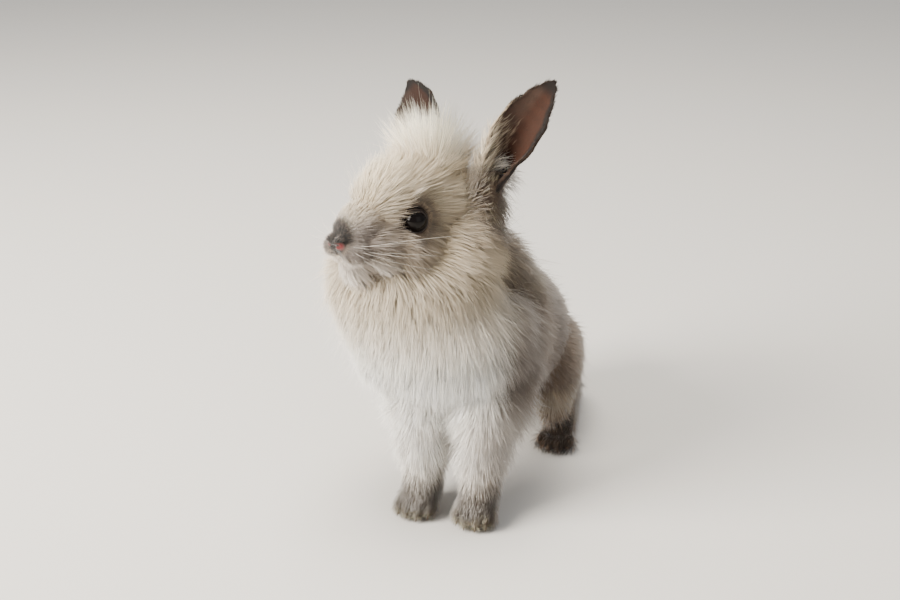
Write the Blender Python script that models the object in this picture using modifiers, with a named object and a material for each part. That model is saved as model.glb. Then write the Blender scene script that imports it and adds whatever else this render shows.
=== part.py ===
"""Young long-maned rabbit, sitting with its forelegs straight and its head turned to its right.

The body is modelled whole from rounded masses, dressed with the locks of its mane, and then parted
with thin cuts where head, neck, torso, tail and legs meet. The rabbit faces -Y, +X is its left, +Z
is up, and the floor is at Z = 0. Every length below is in millimetres, and MM turns it to metres.
"""
import math
import random

import bmesh
import bpy
from mathutils import Matrix, Vector
from mathutils.bvhtree import BVHTree

MM = 0.001
GAP = 0.3             # thin cut between two parts that touch
SIDES = (("left", 1), ("right", -1))

# Head: its own frame has the origin midway between the eyes, -Y to the nose and +Z up.
HEAD_AT = Vector((-23.0, -43.5, 127.5))
HEAD_TURN = math.radians(-32.0)     # about +Z, towards the rabbit's right
HEAD_NOD = math.radians(0.0)        # about the head's own X, nose up
HEAD_TILT = math.radians(0.0)       # about the head's own Y
HEAD = (
    Matrix.Translation(HEAD_AT)
    @ Matrix.Rotation(HEAD_TURN, 4, "Z")
    @ Matrix.Rotation(HEAD_NOD, 4, "X")
    @ Matrix.Rotation(HEAD_TILT, 4, "Y")
)
EYE_RADIUS = 5.3
EYE_OUT = 13.0                      # eyeball centre from the middle plane of the head
EAR_SEAT = Vector((19.5, 31.5, 11.0))   # middle of the left ear's root, in the head's frame
EAR_LEAN = {                        # from an ear's root to its tip, in the head's frame
    "left": Vector((20.0, 11.5, 38.8)),
    "right": Vector((-34.1, 12.9, 26.0)),
}
EAR_CLEAR = 0.65                    # held free of locks all round an ear
EAR_WALL = 1.7                      # skin, cartilage and short fur together

STAND = Vector((8.56, -9.53, 0.0))     # brings the middle of the rabbit's plan over the origin
MESH_STEP_BODY = 1.7                # voxel of the whole body before it is thinned
MESH_STEP_HEAD = 1.1
NECK_FLUFF = 4.8                    # how far the locks of the mane stand past the core
CHEST_FLUFF = 3.6

# Length, width and thickness of the locks, and how high their tips stand over the core.
LOCK_SIZES = {
    "crown": (21.0, 6.4, 2.4, 8.5),
    "fringe": (17.0, 5.6, 2.0, 5.5),
    "cheek": (18.0, 5.8, 1.9, 5.5),
    "beard": (16.0, 6.6, 2.2, 5.0),
    "ruff": (25.0, 7.2, 2.3, 10.8),
    "bib": (25.0, 7.8, 2.4, 9.0),
}


def clear_scene():
    for obj in list(bpy.data.objects):
        bpy.data.objects.remove(obj, do_unlink=True)
    made = {}
    for name in ("rabbit", "cutters"):
        made[name] = bpy.data.collections.new(name)
        bpy.context.scene.collection.children.link(made[name])
    return made["rabbit"], made["cutters"]


PARTS, CUTTERS = clear_scene()


def object_of(name, mesh, collection=PARTS):
    obj = bpy.data.objects.new(name, mesh)
    collection.objects.link(obj)
    if collection is CUTTERS:
        obj.hide_render = True
        obj.display_type = "WIRE"
    return obj


def mesh_of(name, bm):
    mesh = bpy.data.meshes.new(name)
    bm.to_mesh(mesh)
    bm.free()
    return mesh


def remove(*objects):
    for obj in objects:
        bpy.data.objects.remove(obj, do_unlink=True)


def applied(obj):
    """Bakes an object's modifiers into its mesh."""
    bpy.context.view_layer.update()
    graph = bpy.context.evaluated_depsgraph_get()
    mesh = bpy.data.meshes.new_from_object(obj.evaluated_get(graph))
    obj.modifiers.clear()
    obj.data = mesh
    return obj


def bead(bm, centre, radii, turn=None, sides=20):
    """One rounded mass: an ellipsoid of the given radii."""
    place = Matrix.Translation(centre) @ (turn or Matrix.Identity(4))
    size = Matrix.Diagonal((radii[0], radii[1], radii[2], 1.0))
    scale = Matrix.Scale(MM, 4)
    bmesh.ops.create_uvsphere(
        bm, u_segments=sides, v_segments=sides // 2 + 2, radius=1.0, matrix=scale @ place @ size
    )


def smooth_path(points, count):
    """Catmull-Rom through rows of numbers, count samples for each span."""
    rows = [Vector(p) for p in points]
    ends = [2 * rows[0] - rows[1]] + rows + [2 * rows[-1] - rows[-2]]
    out = []
    for i in range(1, len(ends) - 2):
        a, b, c, d = ends[i - 1 : i + 3]
        for k in range(count):
            t = k / count
            out.append(
                0.5 * (2 * b + (c - a) * t + (2 * a - 5 * b + 4 * c - d) * t * t
                       + (3 * b - a - 3 * c + d) * t ** 3)
            )
    return out + [rows[-1]]


def chain(bm, stations, count=5, place=Matrix.Identity(4)):
    """A limb or trunk: masses strung along stations of (centre, radii)."""
    centres = smooth_path([s[0] for s in stations], count)
    radii = smooth_path([s[1] for s in stations], count)
    for centre, radius in zip(centres, radii):
        bead(bm, place @ centre, radius, place.to_3x3().to_4x4())


def mirrored(point, side):
    return Vector((point[0] * side, point[1], point[2]))


# The trunk, from the chest back over the ribs and belly to the rump: centre, then radii.
TRUNK = (
    ((-8.0, -36.0, 68.0), (39.0, 27.0, 29.0)),
    ((-5.0, -19.0, 69.0), (36.0, 28.0, 32.0)),
    ((-1.0, 6.0, 63.0), (33.0, 30.0, 35.0)),
    ((0.0, 27.0, 53.0), (33.0, 31.0, 36.0)),
    ((0.0, 46.0, 44.0), (31.0, 29.0, 33.5)),
    ((0.0, 57.0, 36.0), (25.0, 21.0, 25.0)),
)
NECK = (
    ((-11.0, -29.0, 80.0), (38.0, 29.0, 24.0)),
    ((-17.0, -34.0, 92.0), (38.5, 30.0, 20.0)),
    ((-18.0, -34.0, 104.0), (36.0, 29.0, 20.0)),
    ((-12.0, -27.0, 116.0), (31.0, 26.0, 20.0)),
)
# Fur over the withers and the nape, behind the neck.
NAPE = (
    ((-1.0, -8.0, 86.0), (29.0, 22.0, 18.0)),
    ((-4.0, -16.0, 100.0), (27.0, 21.0, 17.0)),
)
FORELEG = (
    ((15.0, -28.0, 58.0), (14.0, 15.0, 15.0)),
    ((13.5, -37.0, 43.0), (12.0, 12.5, 12.0)),
    ((12.6, -42.0, 28.0), (10.0, 10.2, 10.0)),
    ((12.4, -44.0, 14.0), (9.2, 9.4, 8.0)),
    ((12.4, -46.0, 7.0), (9.0, 9.2, 7.2)),
)
FOREPAW = ((12.4, -49.0, 6.2), (9.2, 8.5, 6.8))
FORE_TOES = ((-6.2, -52.0), (-2.2, -54.5), (2.4, -54.5), (6.4, -52.5))
HINDFOOT = (
    ((29.0, 26.0, 6.0), (9.0, 8.5, 6.6)),
    ((28.0, 38.0, 6.5), (8.4, 9.0, 6.9)),
    ((26.0, 54.0, 6.6), (7.6, 9.0, 7.0)),
    ((24.5, 70.0, 7.0), (7.4, 8.0, 7.4)),
)
HIND_TOES = ((-5.8, 19.5), (-1.9, 17.5), (2.2, 17.8), (6.2, 20.5))
THIGH = (
    ((20.0, 60.0, 29.0), (14.0, 20.0, 21.0)),
    ((21.5, 46.0, 32.0), (16.0, 23.0, 25.0)),
    ((24.0, 32.0, 28.0), (14.0, 16.0, 20.0)),
    ((27.0, 24.0, 16.0), (9.0, 9.0, 10.0)),
)
TAIL = (
    ((0.0, 69.0, 38.0), (9.0, 9.0, 9.0)),
    ((0.0, 77.0, 41.0), (10.5, 9.0, 10.5)),
    ((0.0, 83.0, 45.0), (9.5, 8.0, 10.5)),
)
TOE_RADII = (2.9, 4.6, 4.2)
TOE_HEIGHT = 4.0

# Masses of the head in its own frame: centre, radii, and pitch in degrees about X.
SKULL = (
    ((0.0, 11.0, 1.0), (18.0, 24.5, 17.5), 0),
    ((0.0, -5.0, 3.5), (13.8, 15.0, 12.5), -24),
    ((0.0, -16.5, -2.8), (10.0, 13.5, 9.4), -30),
    ((0.0, -19.5, -8.5), (9.6, 9.8, 8.6), -10),
    ((0.0, -19.0, -15.6), (6.8, 7.8, 5.8), 10),
    ((0.0, -4.0, -12.0), (12.0, 16.0, 11.0), 6),
    ((0.0, 18.5, 14.0), (14.0, 13.0, 11.0), 0),      # the fur of the crown, between the ears
)
SKULL_PAIRS = (
    ((10.6, 1.0, -9.5), (9.4, 14.5, 12.0), 0),       # cheek
    ((7.4, -11.0, -9.0), (7.4, 11.5, 9.4), 0),       # side of the jaw
    ((8.8, 1.0, 5.0), (6.6, 10.0, 6.8), 0),          # brow over the eye
    ((5.0, -23.0, -10.0), (6.0, 6.4, 5.5), 0),       # whisker pad
    ((2.0, -27.8, -6.6), (2.9, 3.0, 2.7), 0),        # wing of the nose
)


def blend(table, v):
    """Reads a smooth value off rows of (position, value)."""
    for (v0, a), (v1, b) in zip(table, table[1:]):
        if v <= v1:
            t = (v - v0) / (v1 - v0)
            return a + (b - a) * t * t * (3 - 2 * t)
    return table[-1][1]


EAR_ARC = ((0.0, 11.5), (0.2, 12.6), (0.4, 12.6), (0.6, 10.4), (0.78, 7.0), (0.92, 3.6), (1.0, 0.9))
EAR_ROUND = ((0.0, 5.0), (0.2, 6.2), (0.45, 9.0), (0.7, 12.0), (1.0, 14.0))
EAR_FACES = {                                # where the hollow of each ear opens to
    "left": Vector((0.5, -0.86, 0.0)),
    "right": Vector((0.77, -0.64, 0.0)),
}


def ear_line(label, side, v):
    """A point on the middle of the ear's back, the way it grows there and the way it opens."""
    root = mirrored(EAR_SEAT, side)
    tip = root + EAR_LEAN[label]
    bend = root + Vector((9.0 * side, 4.0, 21.0))
    point = root * (1 - v) ** 2 + bend * 2 * v * (1 - v) + tip * v * v
    along = ((bend - root) * (1 - v) + (tip - bend) * v).normalized()
    opens = EAR_FACES[label]
    opens = (opens - along * opens.dot(along)).normalized()
    return point, along, opens


def ear_shell(label, side, wall, rim, collection):
    """The curled leaf of the ear: a flat grid bent to a narrow tube below and a shallow cup above."""
    bm = bmesh.new()
    bmesh.ops.create_grid(bm, x_segments=8, y_segments=12, size=1.0)
    for vert in bm.verts:
        u, v = vert.co.x, (vert.co.y + 1) / 2
        point, along, opens = ear_line(label, side, v)
        across = along.cross(opens)
        curl = blend(EAR_ROUND, v)
        angle = u * (blend(EAR_ARC, v) + rim) / curl
        out = opens * (curl - 4.5 - curl * math.cos(angle)) + across * curl * math.sin(angle)
        vert.co = (HEAD @ (point + out)) * MM
    bmesh.ops.recalc_face_normals(bm, faces=bm.faces)
    obj = object_of("ear_shell", mesh_of("ear_shell", bm), collection)
    thicken = obj.modifiers.new("thicken", "SOLIDIFY")
    thicken.thickness = wall * MM
    thicken.offset = 0.0
    return applied(obj)


def ear_solid(name, label, side, spare, collection):
    """An ear with the plug of flesh at its root, grown all round by spare and cut flat below."""
    obj = ear_shell(label, side, EAR_WALL + 2 * spare, 1.6 * spare, collection)
    point, along, opens = ear_line(label, side, 0.0)
    bm = bmesh.new()
    bead(bm, HEAD @ (point + along * 0.5), (4.9 + spare, 4.9 + spare, 5.2 + spare),
         HEAD.to_3x3().to_4x4() @ along.to_track_quat("Z", "Y").to_matrix().to_4x4(), 12)
    plug = object_of("plug", mesh_of("plug", bm), CUTTERS)
    boolean(obj, plug, "UNION", PLAIN)
    if spare > 0.0:
        even = obj.modifiers.new("even", "REMESH")
        even.mode = "VOXEL"
        even.voxel_size = 0.6 * MM
        thin = obj.modifiers.new("thin", "DECIMATE")
        thin.ratio = 0.25
        applied(obj)
    block = ear_block(label, side, 2.0 - spare)
    boolean(obj, block, "INTERSECT", PLAIN)
    remove(plug, block)
    obj.name = name
    return keep_largest(obj)


def ear_block(label, side, start):
    """The space an ear may fill: a block standing on the plane of its root."""
    point, along, _ = ear_line(label, side, 0.0)
    turn = HEAD.to_3x3().to_4x4() @ along.to_track_quat("Z", "Y").to_matrix().to_4x4()
    return box_object("ear_block", HEAD @ (point + along * (start + 50.0)), (100, 100, 100), turn)


def ear_room(label, side):
    """What the head gives up for an ear: the top of its seat, level with the ear's root."""
    point, along, _ = ear_line(label, side, 0.0)
    turn = HEAD.to_3x3().to_4x4() @ along.to_track_quat("Z", "Y").to_matrix().to_4x4()
    return box_object("ear_room", HEAD @ (point + along * (2.0 - GAP + 10.0)), (17, 17, 20), turn)


def drawn_in(stations, depths):
    """The same stations with every radius less by the depth given for each."""
    return [(c, tuple(r - d for r in radii)) for (c, radii), d in zip(stations, depths)]


NECK_CORE = drawn_in(NECK, (CHEST_FLUFF, NECK_FLUFF, NECK_FLUFF, NECK_FLUFF))
NAPE_CORE = drawn_in(NAPE, (2.5, 3.5))
TRUNK_CORE = drawn_in(TRUNK, (CHEST_FLUFF, 0.5 * CHEST_FLUFF, 0.0, 0.0, 0.0, 0.0))


def body_masses(bm):
    chain(bm, TRUNK_CORE, 4)
    chain(bm, NECK_CORE, 4)
    chain(bm, NAPE_CORE, 3)
    chain(bm, TAIL, 3)
    for _, side in SIDES:
        for limb in (FORELEG, HINDFOOT, THIGH):
            chain(bm, [(mirrored(c, side), r) for c, r in limb], 4)
        bead(bm, mirrored(FOREPAW[0], side), FOREPAW[1])
        for toes, across in ((FORE_TOES, FOREPAW[0][0]), (HIND_TOES, HINDFOOT[0][0][0])):
            for x, y in toes:
                bead(bm, mirrored((across + x, y, TOE_HEIGHT), side), TOE_RADII, sides=12)


def head_masses(bm):
    for centre, radii, pitch in SKULL:
        turn = Matrix.Rotation(math.radians(-pitch), 4, "X")
        bead(bm, HEAD @ Vector(centre), radii, HEAD.to_3x3().to_4x4() @ turn)
    for _, side in SIDES:
        for centre, radii, _ in SKULL_PAIRS:
            bead(bm, HEAD @ mirrored(centre, side), radii, HEAD.to_3x3().to_4x4())
    for label, side in SIDES:
        start = ear_line(label, side, 0.0)[1]
        for reach, radius in ((-11.0, 10.0), (-6.0, 8.6), (-2.0, 7.4), (1.5, 6.7)):
            bead(bm, HEAD @ (mirrored(EAR_SEAT, side) + start * reach), [radius] * 3)
    chain(bm, NECK_CORE, 4)
    chain(bm, NAPE_CORE, 3)


def rounded(name, masses, step, passes, share):
    """Fuses overlapping masses into one closed skin, softens it and thins it to a share of its faces."""
    bm = bmesh.new()
    masses(bm)
    obj = object_of(name, mesh_of(name, bm), CUTTERS)
    fuse = obj.modifiers.new("fuse", "REMESH")
    fuse.mode = "VOXEL"
    fuse.voxel_size = step * MM
    soften = obj.modifiers.new("soften", "SMOOTH")
    soften.factor = 0.5
    soften.iterations = passes
    thin = obj.modifiers.new("thin", "DECIMATE")
    thin.ratio = share
    return applied(obj)


def box_object(name, centre, size, turn=Matrix.Identity(4)):
    bm = bmesh.new()
    place = Matrix.Scale(MM, 4) @ Matrix.Translation(centre) @ turn @ Matrix.Diagonal((*size, 1.0))
    bmesh.ops.create_cube(bm, size=1.0, matrix=place)
    return object_of(name, mesh_of(name, bm), CUTTERS)


def is_closed(mesh):
    bm = bmesh.new()
    bm.from_mesh(mesh)
    closed = len(bm.faces) > 0 and all(edge.is_manifold for edge in bm.edges)
    bm.free()
    return closed


PLAIN = ("EXACT", "MANIFOLD")       # solvers for plain shapes, the second where the first leaves a gap
DRESSED = ("MANIFOLD", "EXACT")     # for surfaces dressed with locks, which the exact solver can lose


def boolean(obj, other, operation, solvers=DRESSED):
    """Cuts or joins with the first solver, and with the second where that leaves an open surface."""
    before = obj.data.copy()
    for solver in solvers:
        obj.data = before.copy()
        cut = obj.modifiers.new(operation.lower(), "BOOLEAN")
        cut.operation = operation
        cut.solver = solver
        cut.object = other
        applied(obj)
        if is_closed(obj.data):
            break
    return obj


def copy_of(obj, name, collection=CUTTERS):
    return object_of(name, obj.data.copy(), collection)


def keep_largest(obj):
    """Drops loose scraps and sealed hollows: only the largest closed surface stays."""
    bm = bmesh.new()
    bm.from_mesh(obj.data)
    bmesh.ops.remove_doubles(bm, verts=bm.verts, dist=0.00001 * MM)
    left = set(bm.faces)
    shells = []
    while left:
        front = [left.pop()]
        shell = set(front)
        while front:
            for edge in front.pop().edges:
                for face in edge.link_faces:
                    if face in left:
                        left.remove(face)
                        shell.add(face)
                        front.append(face)
        shells.append(shell)
    biggest = max(shells, key=len)
    bmesh.ops.delete(bm, geom=[f for f in bm.faces if f not in biggest], context="FACES")
    bmesh.ops.triangulate(bm, faces=bm.faces)
    bm.to_mesh(obj.data)
    bm.free()
    return obj


def half_space(name, point, normal, side):
    """A large block on one side of a plane, held back from it by half of the thin cut."""
    reach = 400.0
    turn = Vector(normal).normalized().to_track_quat("Z", "Y").to_matrix().to_4x4()
    centre = Vector(point) + Vector(normal).normalized() * side * (reach / 2 + GAP / 2)
    return box_object(name, centre, (reach, reach, reach), turn)


def carve(rest, name, centre, size):
    """Takes the part of the body inside a block, and leaves the thin cut between it and the rest."""
    piece = copy_of(rest, name, PARTS)
    inner = box_object("inner", centre, size)
    outer = box_object("outer", centre, [s + 2 * GAP for s in size])
    boolean(piece, inner, "INTERSECT")
    boolean(rest, outer, "DIFFERENCE")
    remove(inner, outer)
    return keep_largest(piece)


HEAD_NECK_POINT = Vector((-16.0, -35.0, 109.0))
HEAD_NECK_NORMAL = Vector((0.20, 0.38, -0.90))
NECK_TORSO_POINT = Vector((-6.0, -22.0, 88.0))
NECK_TORSO_NORMAL = Vector((0.0, 0.36, -0.93))


def part_body(whole, surface):
    """Dresses the whole body with its locks and cuts it into its named parts, feet first."""
    add_locks(whole, surface, HEAD_NECK_POINT, HEAD_NECK_NORMAL)
    below = box_object("below", (0, 0, -50.0), (400.0, 400.0, 100.0))
    boolean(whole, below, "DIFFERENCE")
    neck_side = half_space("neck_side", HEAD_NECK_POINT, HEAD_NECK_NORMAL, 1)
    boolean(whole, neck_side, "INTERSECT")
    neck = copy_of(whole, "neck", PARTS)
    upper = half_space("upper", NECK_TORSO_POINT, NECK_TORSO_NORMAL, -1)
    lower = half_space("lower", NECK_TORSO_POINT, NECK_TORSO_NORMAL, 1)
    boolean(neck, upper, "INTERSECT")
    boolean(whole, lower, "INTERSECT")
    keep_largest(neck)
    remove(below, neck_side, upper, lower)
    for label, side in SIDES:
        carve(whole, f"forepaw_{label}", (30.15 * side, -60.0, 4.0), (60.0, 78.0, 20.0))
        carve(whole, f"foreleg_{label}", (30.15 * side, -60.0, 27.0), (60.0, 78.0, 25.4))
        carve(whole, f"hindfoot_{label}", (40.0 * side, 50.0, 3.0), (64.0, 120.0, 20.0))
        carve(whole, f"thigh_{label}", (48.0 * side, 48.0, 44.0), (52.0, 92.0, 61.4))
    carve(whole, "tail", (0.0, 111.0, 50.0), (25.0, 76.0, 44.0))
    torso = copy_of(whole, "torso", PARTS)
    remove(whole)
    return keep_largest(torso)


def ring_object(name, centre, radii, wire, turn):
    """A closed ring: lids round an eye, or the cutter of a crease."""
    bpy.ops.mesh.primitive_torus_add(
        major_segments=20, minor_segments=6, major_radius=1.0, minor_radius=wire / radii[0]
    )
    obj = bpy.context.object
    obj.name = name
    for holder in list(obj.users_collection):
        holder.objects.unlink(obj)
    CUTTERS.objects.link(obj)
    obj.hide_render = True
    obj.display_type = "WIRE"
    size = Matrix.Diagonal((radii[0], radii[1], radii[0], 1.0))
    obj.data.transform(Matrix.Scale(MM, 4) @ HEAD @ Matrix.Translation(centre) @ turn @ size)
    return obj


def bead_object(name, centre, radii, turn=Matrix.Identity(4), sides=20):
    bm = bmesh.new()
    bead(bm, HEAD @ Vector(centre), radii, HEAD.to_3x3().to_4x4() @ turn, sides)
    return object_of(name, mesh_of(name, bm), CUTTERS)


def add_face(head):
    """Lids, sockets, seats of the ears, nostrils, the cleft under the nose and the line of the mouth."""
    for label, side in SIDES:
        to_side = Matrix.Rotation(math.radians(90.0 * side), 4, "Y")
        lids = ring_object("lids", (side * (EYE_OUT + 1.9), 0.1, 0.2), (5.0, 5.3), 1.15, to_side)
        socket = bead_object("socket", (EYE_OUT * side, 0, 0), [EYE_RADIUS + GAP] * 3)
        slant = Matrix.Rotation(math.radians(-38.0 * side), 4, "Y")
        nostril = bead_object("nostril", (2.5 * side, -30.4, -7.6), (1.9, 1.7, 0.62), slant, 12)
        room = ear_room(label, side)
        boolean(head, lids, "UNION", PLAIN)
        boolean(head, socket, "DIFFERENCE", PLAIN)
        boolean(head, nostril, "DIFFERENCE", PLAIN)
        boolean(head, room, "DIFFERENCE", PLAIN)
        remove(lids, socket, nostril, room)
    dip = Matrix.Rotation(math.radians(9.0), 4, "X")
    mouth = ring_object("mouth", (0, -19.2, -13.9), (8.3, 10.0), 0.55, dip)
    cleft = bead_object("cleft", (0, -30.2, -11.4), (0.45, 1.8, 2.7), sides=10)
    boolean(head, mouth, "DIFFERENCE", PLAIN)
    boolean(head, cleft, "DIFFERENCE", PLAIN)
    remove(mouth, cleft)


def make_head(whole, surface):
    """The head in front of the neck cut, with its face and the locks that grow on it."""
    add_face(whole)
    add_locks(whole, surface, HEAD_NECK_POINT, -HEAD_NECK_NORMAL)
    for label, side in SIDES:
        clear = ear_solid("clear", label, side, EAR_CLEAR, CUTTERS)
        boolean(whole, clear, "DIFFERENCE")
        remove(clear)
    front = half_space("front", HEAD_NECK_POINT, HEAD_NECK_NORMAL, -1)
    boolean(whole, front, "INTERSECT")
    remove(front)
    head = copy_of(whole, "head", PARTS)
    remove(whole)
    return keep_largest(head)


class Surface:
    """The outside of the head and body cores taken together."""

    def __init__(self, *objects):
        self.trees = []
        for obj in objects:
            bm = bmesh.new()
            bm.from_mesh(obj.data)
            self.trees.append(BVHTree.FromBMesh(bm))
            bm.free()

    def nearest(self, point):
        found = None
        for tree in self.trees:
            spot, normal, _, _ = tree.find_nearest(point * MM)
            height = (point * MM - spot).dot(normal)
            if found is None or height < found[0]:
                found = (height, spot / MM, normal)
        return found[1], found[2]

    def outermost(self, axis, heading, reach=120.0):
        """Where a line from far outside first meets the core on its way to a point of the axis."""
        start = axis + heading * reach
        best = None
        for tree in self.trees:
            spot, _, _, run = tree.ray_cast(start * MM, -heading, reach * MM)
            if spot is not None and (best is None or run < best[0]):
                best = (run, spot / MM)
        return None if best is None else best[1]


NOSE = HEAD @ Vector((0.0, -30.0, -8.0))
HEAD_BACK = (HEAD.to_3x3() @ Vector((0.0, 1.0, 0.0))).normalized()


def lie_of_coat(point, kind):
    """The way the hair lies: back from the nose over the cheeks, then down the neck and chest."""
    if kind in ("crown", "fringe"):
        local = HEAD.inverted() @ point
        rise = Vector((0.030 * local.x, -0.30 + 0.012 * local.y, 1.0))
        return (HEAD.to_3x3() @ rise).normalized()
    from_nose = (point - NOSE).normalized()
    down = Vector((0.0, 0.10, -1.0))
    back = max(0.0, min(1.0, (point.y + 20.0) / 40.0))
    down += Vector((0.0, 0.9, 0.15)) * back
    share = max(0.0, min(1.0, (point.z - 100.0) / 22.0))
    if kind == "beard":
        share = 0.25
    return (down.normalized() * (1.15 - share) + from_nose * share * 1.1).normalized()


def lock_mesh(path, widths, thicks, normals):
    """One flat lock: low three-sided rings along its path, a closed root and a pointed tip."""
    bm = bmesh.new()
    rings = []
    for i in range(len(path) - 1):
        ahead = (path[i + 1] - path[max(i - 1, 0)]).normalized()
        across = ahead.cross(normals[i]).normalized()
        over = across.cross(ahead).normalized()
        half, thick = across * widths[i] / 2, over * thicks[i] / 2
        corners = (path[i] + half, path[i] + thick * 1.6, path[i] - half)
        rings.append([bm.verts.new(c * MM) for c in corners])
    tip = bm.verts.new(path[-1] * MM)
    for a, b in zip(rings, rings[1:]):
        for k in range(3):
            bm.faces.new((a[k], a[(k + 1) % 3], b[(k + 1) % 3], b[k]))
    for k in range(3):
        bm.faces.new((rings[-1][k], rings[-1][(k + 1) % 3], tip))
    bm.faces.new(list(reversed(rings[0])))
    bmesh.ops.recalc_face_normals(bm, faces=bm.faces)
    return mesh_of("lock", bm)


LOCK_STEPS = 4
LOCK_SINK = 2.8


def lay_lock(surface, root, kind, chance):
    """Lays a lock from its sunk root over the core, lifting towards the tip."""
    length, width, thick, lift = LOCK_SIZES[kind]
    length *= chance.uniform(0.82, 1.18)
    width *= chance.uniform(0.85, 1.15)
    lift *= chance.uniform(0.75, 1.2)
    stray = chance.uniform(-0.24, 0.24)
    path, normals = [], []
    point = root
    for i in range(LOCK_STEPS + 1):
        share = i / LOCK_STEPS
        spot, normal = surface.nearest(point)
        lie = lie_of_coat(spot, kind)
        lie = (lie + normal.cross(lie) * stray * (0.4 + share)).normalized()
        slide = lie - normal * lie.dot(normal)
        height = -LOCK_SINK + (LOCK_SINK + lift) * share ** 1.1
        path.append(spot + normal * height)
        normals.append(normal.copy())
        point = spot + slide.normalized() * length / LOCK_STEPS
        if kind == "crown":
            point = spot + lie * length / LOCK_STEPS
            if share >= 0.5:
                path[-1] = path[-2] + (lie + normal * 0.15) * length / LOCK_STEPS
    widths = [width * w for w in (0.74, 1.0, 0.94, 0.60, 0.0)]
    thicks = [thick * t for t in (1.0, 1.0, 0.85, 0.6, 0.0)]
    return lock_mesh(path, widths, thicks, normals)


RUFF_AXIS = Vector((-15.5, -34.0, 0.0))
# Height of each ring of the ruff, its locks, their kind and the turn of the first.
RUFF_RINGS = (
    (121.0, 11, "ruff", 0.0),
    (112.0, 12, "ruff", 15.0),
    (103.0, 13, "ruff", 0.0),
    (94.0, 13, "ruff", 14.0),
    (85.0, 13, "bib", 0.0),
    (76.0, 12, "bib", 14.0),
    (67.0, 11, "bib", 0.0),
)
FACE_FRONT = HEAD.to_3x3() @ Vector((0.0, -1.0, 0.0))


def plan_locks(surface):
    """Roots and meshes of all locks of the mane, from the crown down to the chest."""
    chance = random.Random(7)
    planned = []
    for height, count, kind, first in RUFF_RINGS:
        axis = RUFF_AXIS + Vector((0.0, 0.0, height))
        for k in range(count):
            angle = math.radians(first + 360.0 * k / count + chance.uniform(-5.0, 5.0))
            heading = Vector((math.sin(angle), -math.cos(angle), chance.uniform(-0.06, 0.06))).normalized()
            ahead = heading.dot(FACE_FRONT)
            if height > 106.0 and ahead > 0.42:
                continue
            if height < 80.0 and heading.y > 0.25:
                continue
            if height < 100.0 and heading.y > 0.55:
                continue
            root = surface.outermost(axis, heading)
            if root is not None:
                planned.append(lay_lock(surface, root, kind, chance))
    sideways = HEAD.to_3x3()
    for _, side in SIDES:
        for y, z, count in ((12.0, -10.0, 4), (6.0, -16.0, 4)):
            for k in range(count):
                aim = Vector((side * 1.0, 0.15, -0.25 * k / count)).normalized()
                centre = Vector((0.0, y - 4.5 * k + chance.uniform(-1, 1), z + chance.uniform(-1, 1)))
                root = surface.outermost(HEAD @ centre, sideways @ aim)
                if root is not None:
                    planned.append(lay_lock(surface, root, "cheek", chance))
    for k in range(11):
        centre = HEAD @ Vector((-10.0 + 2.0 * k, -13.5 + 5.0 * (k % 2), -16.0))
        root = surface.outermost(centre, sideways @ Vector((0.10 * (k - 5), 0.0, -1.0)).normalized(), 60)
        if root is not None:
            planned.append(lay_lock(surface, root, "beard", chance))
    for ring, (radius, lift, count) in enumerate(((14.0, 12.0, 11), (10.0, 18.0, 9), (5.0, 22.0, 5))):
        for k in range(count):
            angle = math.radians(360.0 * (k + 0.5 * (ring % 2)) / count + chance.uniform(-6, 6))
            spot = Vector((radius * math.sin(angle), 18.0 - radius * math.cos(angle), lift))
            root = surface.nearest(HEAD @ spot)[0]
            planned.append(lay_lock(surface, root, "crown", chance))
    for label, side in SIDES:
        for k in range(5):
            angle = math.radians(-150.0 + 48.0 * k)
            aside = Vector((8.0 * side * math.cos(angle), 8.0 * math.sin(angle), -3.0))
            root = surface.nearest(HEAD @ (mirrored(EAR_SEAT, side) + aside))[0]
            planned.append(lay_lock(surface, root, "fringe", chance))
    return planned


def add_locks(whole, surface, point, normal):
    """Fuses to a core every lock that reaches past a plane on the side its normal points to."""
    group = bpy.data.collections.new("locks")
    bpy.context.scene.collection.children.link(group)
    for mesh in surface.locks:
        if max(((v.co / MM) - point).dot(normal) for v in mesh.vertices) > 0.0:
            object_of("lock", mesh.copy(), group)
    before = whole.data.copy()
    for solver in DRESSED:
        whole.data = before.copy()
        fuse = whole.modifiers.new("fuse", "BOOLEAN")
        fuse.operation = "UNION"
        fuse.solver = solver
        fuse.operand_type = "COLLECTION"
        fuse.collection = group
        applied(whole)
        if is_closed(whole.data):
            break
    remove(*list(group.objects))
    bpy.data.collections.remove(group)


def make_eye(label, side):
    bm = bmesh.new()
    bead(bm, HEAD @ Vector((EYE_OUT * side, 0, 0)), [EYE_RADIUS] * 3, sides=14)
    return object_of(f"eye_{label}", mesh_of(f"eye_{label}", bm))


# Colour, roughness and metallic of each part, by the first word of its name.
FINISHES = {
    "head": ((0.62, 0.54, 0.44), 0.95, 0.0),
    "neck": ((0.76, 0.71, 0.64), 0.95, 0.0),
    "torso": ((0.70, 0.63, 0.54), 0.95, 0.0),
    "tail": ((0.36, 0.29, 0.23), 0.95, 0.0),
    "foreleg": ((0.74, 0.69, 0.62), 0.95, 0.0),
    "forepaw": ((0.30, 0.25, 0.20), 0.95, 0.0),
    "thigh": ((0.55, 0.46, 0.36), 0.95, 0.0),
    "hindfoot": ((0.20, 0.15, 0.11), 0.95, 0.0),
    "ear": ((0.17, 0.11, 0.08), 0.85, 0.0),
    "eye": ((0.015, 0.010, 0.008), 0.08, 0.0),
}


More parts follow.
